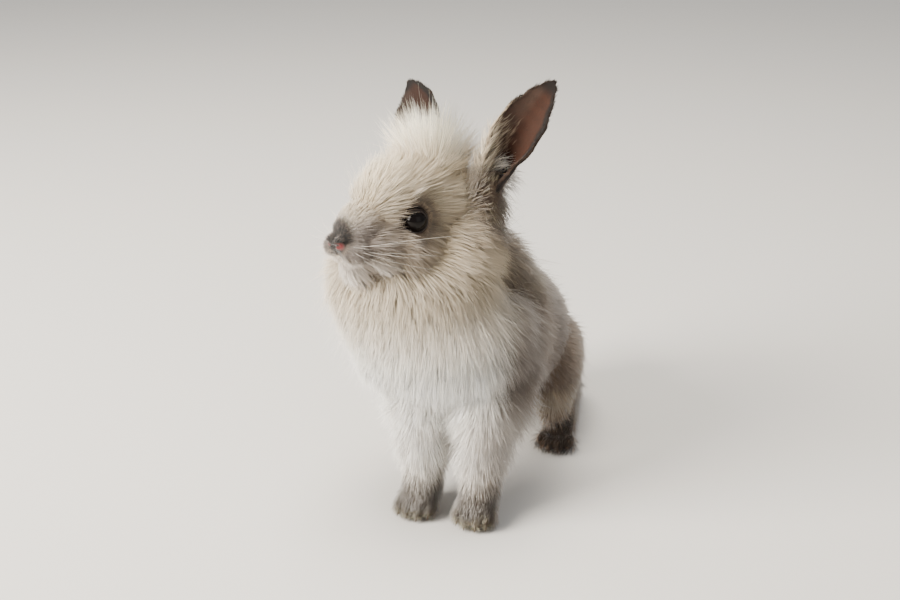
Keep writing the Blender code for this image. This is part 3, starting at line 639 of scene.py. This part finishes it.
def gather(path, spot, reach, strength):
    """Draws the tufts of one wisp together towards their tips."""
    count = max(1, int(len(spot) / reach))
    seeds = chance.choice(len(spot), count, replace=False)
    tree = KDTree(count)
    for i, k in enumerate(seeds):
        tree.insert(spot[k], i)
    tree.balance()
    leader = seeds[np.array([tree.find(p)[1] for p in spot])]
    rings = len(path) - 1
    for k in range(1, rings + 1):
        pull = (strength * (k / rings) ** 1.5)[:, None]
        offset = (path[k][leader] - path[0][leader]) + path[0][leader] - path[k]
        path[k] = path[k] + offset * pull
    return path, leader


def tuft_mesh(name, path, normal, width, on_map, root_colour, tip_colour, material):
    """Joins tufts into one mesh: three-sided, narrowing to a point, with colour and bake map."""
    count, rings = len(path[0]), len(path) - 1
    shape = np.array({2: (1.0, 0.72), 3: (1.0, 0.86, 0.55), 4: (1.0, 0.94, 0.76, 0.44)}[rings])
    per = rings * 3 + 1
    co = np.empty((count, per, 3))
    facing = np.empty((count, per, 3))
    shares = np.empty((count, per))
    for k in range(rings):
        ahead = unit(path[k + 1] - path[k])
        across = unit(np.cross(ahead, normal))
        over = np.cross(across, ahead)
        for j in range(3):
            turn = 2 * math.pi * j / 3 + math.pi / 2
            out = across * math.cos(turn) + over * (0.6 * math.sin(turn))
            co[:, k * 3 + j] = path[k] + out * (width * shape[k] * 0.5)[:, None]
            facing[:, k * 3 + j] = unit(normal * 1.0 + over * 0.5 + out * 0.28)
            shares[:, k * 3 + j] = k / rings
    co[:, -1] = path[-1]
    last = path[-1] - path[-2]
    facing[:, -1] = unit(normal * 0.9 + unit(np.cross(np.cross(last, normal), last)) * 0.5)
    shares[:, -1] = 1.0
    co[:, :, 2] = np.maximum(co[:, :, 2], OFF_FLOOR)
    faces = []
    for k in range(rings - 1):
        for j in range(3):
            a, b = k * 3 + j, k * 3 + (j + 1) % 3
            faces += [(a, b + 3, b), (a, a + 3, b + 3)]
    top = (rings - 1) * 3
    for j in range(3):
        faces.append((top + j, per - 1, top + (j + 1) % 3))
    faces = np.array(faces)
    loops = (faces[None, :, :] + (np.arange(count) * per)[:, None, None]).reshape(-1)
    mesh = bpy.data.meshes.new(name)
    mesh.vertices.add(count * per)
    mesh.vertices.foreach_set("co", (co * MM).ravel())
    mesh.loops.add(len(loops))
    mesh.loops.foreach_set("vertex_index", loops.astype(np.int32))
    mesh.polygons.add(len(loops) // 3)
    mesh.polygons.foreach_set("loop_start", np.arange(0, len(loops), 3, dtype=np.int32))
    mesh.polygons.foreach_set("use_smooth", np.ones(len(loops) // 3, dtype=bool))
    mesh.update()
    spread = np.zeros((per, 2))
    for k in range(rings):
        for j in range(3):
            spread[k * 3 + j] = (0.0015 * math.cos(2.1 * j) * (1 - 0.3 * k),
                                 0.0015 * math.sin(2.1 * j) * (1 - 0.3 * k))
    patch = on_map[:, None, :] + spread[None]
    layer = mesh.uv_layers.new(name="OFBake")
    layer.data.foreach_set("uv", patch.reshape(-1, 2)[loops].ravel())
    tone = root_colour[:, None, :] * (1 - shares[:, :, None]) + tip_colour[:, None, :] * shares[:, :, None]
    obj = placed(name, mesh)
    paint(obj, "Coat", tone.reshape(-1, 3))
    mesh.normals_split_custom_set_from_vertices(facing.reshape(-1, 3))
    mesh.materials.append(material)
    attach(obj, "root")


# Baby wool in wisps: dull, soft, each wisp a little lighter or darker than the next.
wool = coat_material("soft baby wool in fine wisps", "Coat", 0.75, 0.5, 2.5, 0.0, 0.05, 0.4)


def dress(name, count, weight, rings, width, clump, wild=1.0):
    """Grows one kind of hair over the skin; clump is how many tufts share a wisp."""
    spot, normal, on_map, _ = scatter(skin.data, skin_faces, count, weight)
    eye_gap = np.min([gap_from(in_head(spot), EYE_OUT * s, EYE_FORE, 0) for s in (1, -1)], axis=0)
    keep = (eye_gap > EYE_R + 0.5) & (bare(spot) < 0.12) & (spot[:, 2] > 0.8)
    spot, normal, on_map, eye_gap = spot[keep], normal[keep], on_map[keep], eye_gap[keep]
    count = len(spot)
    long, up = build_of(spot)
    long = long * wild * chance.uniform(0.62, 1.15, count)
    low_chest = (spot[:, 2] < 62) * (spot[:, 2] > 36) * (spot[:, 1] < -25)
    long = long * (1 - low_chest * chance.uniform(0, 0.6, count))
    up = up * wild ** 2 * chance.uniform(0.6, 1.35, count)
    lie = unit(lie_of(spot))
    lie = unit(lie + chance.normal(0, 0.13, (count, 3)))
    droop = 0.10 * ramp(long, 9, 18) * (up < 0.7)
    wide = width * (0.55 + 0.45 * ramp(long, 2, 12)) * chance.uniform(0.7, 1.2, count)
    wide = wide * (1 - 0.35 * ramp(up, 0.5, 0.75))
    path = grow(spot, normal, lie, long, up, droop, rings)
    high = 0.26 + 0.36 * ramp(spot[:, 2], 80, 98)
    pull = (high if wild == 1 else 0.15) * ramp(long, 3, 12) * chance.uniform(0.5, 1.0, count)
    path, leader = gather(path, spot, clump, pull)
    base = markings(spot)
    shade = 1 + (chance.uniform(-0.10, 0.08, (count, 1)) * (1 + 1.4 * (1 - ramp(long, 2.0, 5.0)[:, None]))
                 * (1 - 0.4 * ramp(long, 5, 12)[:, None]))
    of_wisp = chance.uniform(-0.12, 0.07, (count, 1))[leader]
    shade = shade * (1 + of_wisp * (1 - 0.35 * ramp(long, 8, 14)[:, None]))
    dark = 0.66 + 0.26 * ramp(long, 3, 8)[:, None]
    root, tip = base * dark * shade, np.minimum(base * 1.12 * shade, 0.95)
    clear = np.ones(count, bool)
    for ring in path[1:]:
        local = np.abs(in_head(ring) - [0, EYE_FORE, 0])
        over_eye = (local[:, 0] > EYE_OUT - 3) & (np.hypot(local[:, 1], local[:, 2]) < EYE_R - 0.3)
        from_eye = np.linalg.norm(local - [EYE_OUT, 0, 0], axis=1)
        clear &= ~(over_eye | (from_eye < EYE_R + 0.7) & (eye_gap > EYE_R + 1.2))
    path = [ring[clear] for ring in path]
    spot, normal, wide, on_map, root, tip = (a[clear] for a in (spot, normal, wide, on_map, root, tip))
    count = len(spot)
    order = np.argsort(spot[:, 1], kind="stable")
    pieces = max(1, math.ceil(count / (PIECE_LIMIT // (rings * 6 - 3))))
    for i, part in enumerate(np.array_split(order, pieces)):
        tuft_mesh(f"{name}_{i + 1}", [p[part] for p in path], normal[part], wide[part], on_map[part],
                  root[part], tip[part], wool)


skin_faces = faces_of(skin.data)
middle = points_of(skin.data)[skin_faces[0]].mean(axis=1)
mid_head = in_head(middle)
length = build_of(middle)[0]
long_share = ramp(length, 9.0, 13.0)
face_share = 1 - ramp(length, 3.5, 6.0)
crown_share = ramp(mid_head[:, 2], 9, 15) * (mid_head[:, 1] < 30) * (middle[:, 2] > 110)
dress("mane", 20000, long_share, 3, 0.42, 20)
dress("wool", 44000, long_share * (1 + 0.8 * crown_share), 2, 0.32, 9)
on_face = (mid_head[:, 1] < 12) * (middle[:, 2] > 100)
dress("plush", 40000, (1 - long_share) * (1 - face_share) * (1 + 1.4 * on_face), 2, 0.46, 8)
dress("short_coat", 34000, face_share * (1 + 3.0 * on_face), 2, 0.44, 4)
dress("stray", 8000, ramp(length, 6, 9), 2, 0.15, 1.6, 1.3)

# Ears.
# Thin upright ears: a curled leaf of gristle and skin, narrow at the root and cupped above it, with
# brown rosy skin inside, dark brown velvet on the back, a near-black rim and pale hair in front.
EAR_FACES = {"left": Vector((0.5, -0.86, 0.0)), "right": Vector((0.77, -0.64, 0.0))}
EAR_ARC = ((0.0, 11.5), (0.2, 12.6), (0.4, 12.2), (0.6, 9.8), (0.78, 6.4), (0.92, 3.4), (1.0, 0.9))
EAR_ROUND = ((0.0, 5.0), (0.2, 6.2), (0.45, 9.0), (0.7, 12.0), (1.0, 14.0))
# Brightness of each ear's colours: the right ear, further from the camera, gets the same colours darkened as
# painted shade.
EAR_PAINTED_SHADE = {"left": 1.0, "right": 0.55}
EAR_TUFTS = 7500
EAR_SUNK = 0.10  # share of the ear's length that is sunk in the head


def blend(table, v):
    for (v0, a), (v1, b) in zip(table, table[1:]):
        if v <= v1:
            t = (v - v0) / (v1 - v0)
            return a + (b - a) * t * t * (3 - 2 * t)
    return table[-1][1]


def ear_point(label, side, u, v):
    root = mirrored(EAR_SEAT, side)
    tip = root + EAR_LEAN[label]
    bend = root + Vector((9.0 * side, 4.0, 21.0))
    point = root * (1 - v) ** 2 + bend * 2 * v * (1 - v) + tip * v * v
    along = ((bend - root) * (1 - v) + (tip - bend) * v).normalized()
    opens = EAR_FACES[label]
    opens = (opens - along * opens.dot(along)).normalized()
    across = along.cross(opens)
    curl = blend(EAR_ROUND, max(0.0, v))
    angle = u * (blend(EAR_ARC, max(0.0, v)) - 0.3) / curl
    return HEAD @ (point + opens * (curl - 4.5 - curl * math.cos(angle)) + across * curl * math.sin(angle))


def ear_colour(u, v, inside, wobble):
    rim = np.maximum(ramp(u, 0.66, 0.84), ramp(v, 0.84, 0.95))
    rim = np.maximum(rim, ramp(-u, 0.86, 0.97) * ramp(v, 0.35, 0.6))
    back = np.tile(linear("#33261E"), (len(u), 1))
    pale = (ramp(-u, 0.2, 0.7) * (1 - ramp(v, 0.45, 0.8)))[:, None]
    back = back * (1 - pale) + linear("#C9B79E") * pale
    inner = np.tile(linear("#321B10"), (len(u), 1))
    hairy = (ramp(-u, -0.1, 0.5) * 0.6)[:, None]
    inner = inner * (1 - hairy) + linear("#41342D") * hairy
    low = (1 - ramp(v, 0.08, 0.30))[:, None]
    inner = inner * (1 - low) + linear("#3B2A21") * low
    inner = inner * (0.92 + 0.16 * wobble[:, None])
    edge = rim[:, None]
    inner = inner * (1 - edge) + linear("#140E0C") * edge
    return np.where(inside[:, None], inner, back)


# Ear velvet: short dull hair, barely mottled.
velvet = coat_material("dark ear velvet", "Coat", 0.8, 0.08, 2.0, 0.0, 0.05, 0.05)
for label, side in SIDES:
    bm = bmesh.new()
    bmesh.ops.create_grid(bm, x_segments=30, y_segments=50, size=1.0)
    uv_of = {}
    bm.verts.index_update()
    for vert in bm.verts:
        u, v = vert.co.x, (vert.co.y + 1) / 2
        uv_of[vert.index] = (u, v)
        vert.co = ear_point(label, side, u, -EAR_SUNK + (1 + EAR_SUNK) * v) * MM
    ear = shaped(f"ear_leaf_{label}", bm)
    grid = points_of(ear.data)
    grid_uv = np.array([uv_of[i] for i in range(len(grid))])
    thicken = ear.modifiers.new("thicken", "SOLIDIFY")
    thicken.thickness = 1.0 * MM
    thicken.offset = 0.0
    modified(ear)
    bm = bmesh.new()
    bm.from_mesh(ear.data)
    bmesh.ops.recalc_face_normals(bm, faces=bm.faces)
    bmesh.ops.triangulate(bm, faces=bm.faces)
    bm.to_mesh(ear.data)
    bm.free()
    smooth(ear)
    bpy.ops.object.select_all(action="DESELECT")
    unwrap(ear, 0.004)
    shell = points_of(ear.data)
    shell_normals = normals_of(ear.data)
    tree = KDTree(len(grid))
    for i, p in enumerate(grid):
        tree.insert(p, i)
    tree.balance()
    near = np.array([tree.find(p)[1] for p in shell])
    u, v = grid_uv[near].T
    axis_up = np.array(HEAD_R @ EAR_FACES[label])
    inside = ((shell_normals @ axis_up) > 0.0) & (np.abs(u) < 0.97)
    wobble = 0.5 + 0.5 * np.sin(shell[:, 2] * 0.9 + shell[:, 0] * 0.7) * np.sin(shell[:, 1] * 0.8)
    # Ear skin colours, darkened on the right ear as painted shade.
    paint(ear, "Coat", ear_colour(u, v, inside, wobble) * EAR_PAINTED_SHADE[label])
    # Ear skin: thin gristle under fine skin, matt, and letting a little light through.
    leather = coat_material(f"thin ear skin {label}", "Coat", 0.8, 0.0, 0.8, 0.15, 0.08)
    shader = leather.node_tree.nodes["Principled BSDF"]
    shader.inputs["Subsurface Weight"].default_value = 0.06
    shader.inputs["Subsurface Radius"].default_value = (0.003, 0.001, 0.0006)
    ear.data.materials.clear()
    ear.data.materials.append(leather)
    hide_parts(f"ear_{label}")
    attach(ear, "root")

    # Velvet of the back and rim, and the pale fringe that grows from the front edge of the root.
    faces = faces_of(ear.data)
    eu, ev, ei = (place[faces[0]].mean(axis=1) for place in (u, v, inside))
    hollow = 0.2 + 1.2 * ramp(np.abs(eu), 0.75, 0.95) + 0.9 * (eu < -0.1) * (ev < 0.56)
    weight = np.where(ei > 0.5, hollow, 1.0) + 1.6 * (eu < -0.85) * (ev < 0.46)
    count = EAR_TUFTS
    spot, normal, on_map, pick = scatter(ear.data, faces, count, weight)
    first = faces[0][pick, 0]
    pu, pv, pi = u[first], v[first], inside[first]
    up_ear = np.array([
        ear_point(label, side, 0.0, min(1.0, t + 0.06)) - ear_point(label, side, 0.0, t - 0.04)
        for t in np.linspace(0, 1, 51)
    ])
    lie = unit(up_ear[np.clip((pv * 50).astype(int), 0, 50)])
    lie = unit(lie + chance.normal(0, 0.15, (count, 3)))
    long = np.where(pi, 1.6 + 1.4 * ramp(np.abs(pu), 0.7, 0.95), 1.6 + 1.0 * (1 - pv))
    long = long * chance.uniform(0.7, 1.2, count)
    long = long * (1 - 0.35 * ramp(pv, 0.8, 1.0))
    tone = ear_colour(pu, pv, pi, np.full(count, 0.5)) * chance.uniform(0.8, 1.25, (count, 1))
    # Long pale hairs that veil the front half of the hollow.
    veil = pi & (pu < 0.1) | (pu < -0.78)
    veil = veil & (pv < chance.uniform(0.05, 0.56, count)) & (chance.random(count) < 0.75)
    long = np.where(veil, chance.uniform(5.0, 11.0, count) * (1 - 0.8 * pv), long)
    front = ramp(-pu, 0.25, 0.8)[:, None]
    straw = linear("#6A5849") * (1 - front) + linear("#E0D0B6") * front
    tone = np.where(veil[:, None], straw * chance.uniform(0.45, 1.25, (count, 1)), tone)
    # The right ear's hairs are darkened the same way, as painted shade.
    tone = tone * EAR_PAINTED_SHADE[label]
    rise = np.where(veil, 0.30, 0.10)
    wide = np.where(veil, 0.19, 0.30)
    path = grow(spot, normal, lie, long, rise, np.zeros(count), 2, 0.3)
    tuft_mesh(f"ear_velvet_{label}", path, normal, wide, on_map, tone * 0.9, tone * 1.15,
              velvet)

# Eyes.
# Large dark eyes set on the sides of the head: a wet ball, so dark a brown that no pupil shows,
# held by a rim of dark lid that follows its curve.
LID_FORE, LID_HIGH = 4.55, 4.42  # the rim's half width and half height on the ball


def plain_material(name, colour, roughness):
    material = bpy.data.materials.new(name)
    material.use_nodes = True
    shader = material.node_tree.nodes["Principled BSDF"]
    shader.inputs["Base Color"].default_value = (*linear(colour), 1)
    shader.inputs["Roughness"].default_value = roughness
    return material


# Wet ball: near black, with the smooth gloss and the refraction of water. The lid is bare dark
# skin, duller than the ball.
eye_material = plain_material("wet dark eye", "#0A0605", 0.04)
eye_material.node_tree.nodes["Principled BSDF"].inputs["IOR"].default_value = 1.33
eye_material.node_tree.nodes["Principled BSDF"].inputs["Specular IOR Level"].default_value = 0.3
lid_material = coat_material("dark bare eyelid", "Coat", 0.45, 0.0, 0.4, 0.1, 0.1)
for label, side in SIDES:
    bm = bmesh.new()
    bead(bm, (EYE_OUT * side, EYE_FORE, 0), [EYE_R] * 3, Matrix.Rotation(math.radians(90), 4, "Y"), 56, HEAD)
    eye = shaped(f"eyeball_{label}", bm)
    smooth(eye)
    eye.data.materials.append(eye_material)
    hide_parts(f"eye_{label}")
    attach(eye, "root")
    # The lid: a soft ring, thicker above, pressed to the ball.
    bm = bmesh.new()
    turns, around = 48, 10
    rows = []
    looks = Matrix.Rotation(math.radians(-32.0 * side), 3, "Z")
    for i in range(turns):
        angle = 2 * math.pi * i / turns
        y, z = LID_FORE * math.cos(angle), LID_HIGH * math.sin(angle)
        out = math.sqrt(EYE_R ** 2 - y * y - z * z)
        fat = 0.55 + 0.15 * max(0.0, math.sin(angle))
        radial = looks @ Vector((side * out, y, z)).normalized()
        centre = Vector((EYE_OUT * side, EYE_FORE, 0)) + radial * EYE_R
        tangent = looks @ Vector((0, -math.sin(angle), math.cos(angle)))
        widen = radial.cross(tangent).normalized()
        row = []
        for j in range(around):
            turn = 2 * math.pi * j / around
            offset = radial * math.cos(turn) * fat * 0.8 + widen * math.sin(turn) * fat * 1.25
            row.append(bm.verts.new((HEAD @ (centre + offset)) * MM))
        rows.append(row)
    for i in range(turns):
        for j in range(around):
            a, b = rows[i], rows[(i + 1) % turns]
            bm.faces.new((a[j], a[(j + 1) % around], b[(j + 1) % around], b[j]))
    bmesh.ops.recalc_face_normals(bm, faces=bm.faces)
    lid = shaped(f"eyelid_{label}", bm)
    smooth(lid)
    ring = points_of(lid.data)
    local = in_head(ring) - np.array([EYE_OUT * side, EYE_FORE, 0])
    gap = np.hypot(local[:, 1] / LID_FORE, local[:, 2] / LID_HIGH)[:, None]
    fur = 0.7 * ramp(gap, 1.08, 1.2)
    paint(lid, "Coat", linear("#1C130F") * (1 - fur) + linear("#453529") * fur)
    lid.data.materials.append(lid_material)
    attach(lid, "root")

# Whiskers.
# Stiff pale hairs that spring in rows from the pads of the upper lip and sweep back along the
# cheeks, with two over each eye: each a fine three-sided thread that narrows to a point.
WHISKER_R = 0.058
BROW_R = 0.055
THREE_SIDES = (0.0, 2.094, 4.189)
# Whisker: clear pale horn with a slight gloss.
horn_thread = plain_material("pale whisker hair", "#E8E2D8", 0.35)


def thread(bm, path, radius):
    rings = []
    for k in range(len(path) - 1):
        ahead = (path[k + 1] - path[max(k - 1, 0)]).normalized()
        across = ahead.orthogonal().normalized()
        over = ahead.cross(across)
        size = radius * (1 - 0.8 * k / len(path))
        rings.append([bm.verts.new((path[k] + (across * math.cos(t) + over * math.sin(t)) * size) * MM)
                      for t in THREE_SIDES])
    tip = bm.verts.new(path[-1] * MM)
    bm.faces.new(rings[0])
    for a, b in zip(rings, rings[1:]):
        for j in range(3):
            bm.faces.new((a[j], a[(j + 1) % 3], b[(j + 1) % 3], b[j]))
    for j in range(3):
        bm.faces.new((rings[-1][j], rings[-1][(j + 1) % 3], tip))


def piece_of(name, bm, material):
    bmesh.ops.recalc_face_normals(bm, faces=bm.faces)
    obj = shaped(name, bm)
    smooth(obj)
    obj.data.materials.append(material)
    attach(obj, "root")


skin_tree = BVHTree.FromPolygons([Vector(v) for v in points_of(skin.data)],
                                 [tuple(t) for t in skin_faces[0]])
bm = bmesh.new()
for _, side in SIDES:
    for r, k in [(r, k) for r in range(3) for k in range(4)]:
        pad = ((8.0 + 0.7 * k) * side, -25.5 + 2.2 * k, -6.5 - 2.1 * r - 0.3 * k)
        root = skin_tree.find_nearest(HEAD @ Vector(pad))[0]
        length = 13.0 + 5.0 * k + chance.uniform(-2, 2)
        length += 16.0 if (r, k) == (0, 3) else 0.0
        heading = Vector((side * (1.0 + 0.1 * r), -0.35 + 0.42 * k, 0.30 - 0.28 * r))
        heading = (HEAD_R @ heading).normalized()
        sweep = (HEAD_R @ Vector((side * 0.25, 1.0, -0.25))).normalized()
        path = [root - heading * 0.6]
        for step in range(7):
            path.append(path[-1] + heading * length / 7)
            heading = (heading + sweep * 0.10).normalized()
        thread(bm, path, WHISKER_R)
    for k in range(2):
        root = skin_tree.find_nearest(HEAD @ Vector((12.0 * side, -3.5 + 3.0 * k, 7.5)))[0]
        heading = (HEAD_R @ Vector((side * 0.9, 0.1, 0.8))).normalized()
        path = [root - heading * 0.6]
        for step in range(5):
            path.append(path[-1] + heading * 2.6)
            heading = (heading + Vector((0, 0.06, -0.05))).normalized()
        thread(bm, path, BROW_R)
piece_of("whiskers", bm, horn_thread)

# Claws.
# Small curved claws, one at each toe and half hidden in the hair of the foot: three-sided horn
# that narrows to a point.
CLAW_LENGTH = 4.4
CLAW_R = 0.75
# Claw horn: brown, smooth and a little dull.
claw_horn = plain_material("brown claw horn", "#5C4A3A", 0.4)
bm = bmesh.new()
for _, side in SIDES:
    for toes, across in TOES:
        for x, y in toes:
            root = mirrored((across + x, y - (1.9 if y < 0 else 0.2), 3.2), side) + STAND
            path = [root + Vector((0, -t * CLAW_LENGTH, 0.9 * t - 3.0 * t * t))
                    for t in (0.0, 0.25, 0.5, 0.75, 1.0)]
            thread(bm, path, CLAW_R)
piece_of("claws", bm, claw_horn)

# Stage.
# A plain pale floor under soft studio light: a large key from the rabbit's right, a faint fill and
# a top light. The camera stands where the photograph was taken from.
floor_mesh = bpy.data.meshes.new("floor")
floor_mesh.from_pydata([(-3, -3, 0), (3, -3, 0), (3, 3, 0), (-3, 3, 0)], [], [(0, 1, 2, 3)])
floor = placed("floor", floor_mesh)
# Floor paper: matt and pale.
floor_mesh.materials.append(plain_material("matt pale paper", "#DCDAD6", 0.9))
world = bpy.data.worlds.new("studio")
world.use_nodes = True
world.node_tree.nodes["Background"].inputs["Color"].default_value = (*linear("#ECECEC"), 1)
world.node_tree.nodes["Background"].inputs["Strength"].default_value = 0.70
bpy.context.scene.world = world
for name, at, size, power, tint in (
    ("key", (-0.82, -0.75, 0.62), 0.75, 50.0, "#FFF7EB"),
    ("fill", (0.75, -0.55, 0.45), 0.7, 1.2, "#FBF9F6"),
    ("top", (-0.10, 0.10, 1.1), 0.5, 13.0, "#FFF6E8"),
):
    lamp = bpy.data.lights.new(name, "AREA")
    lamp.size = size
    lamp.energy = power
    lamp.color = linear(tint)
    holder = placed(name, lamp)
    holder.location = at
    holder.rotation_euler = (Vector((0, -0.02, 0.08)) - Vector(at)).to_track_quat("-Z", "Y").to_euler()
camera = placed("camera", bpy.data.cameras.new("camera"))
camera.data.sensor_width = 36.0
camera.data.lens = 48.0
camera.data.clip_start = 0.01
azimuth, elevation, distance = math.radians(18.0), math.radians(22.0), 0.47
back = Vector((math.sin(azimuth) * math.cos(elevation),
               -math.cos(azimuth) * math.cos(elevation), math.sin(elevation)))
aim = (Vector((-2.0, -40.0, 92.0)) + STAND) * MM
camera.location = aim + back * distance
camera.rotation_euler = (-back).to_track_quat("-Z", "Y").to_euler()
bpy.context.scene.camera = camera
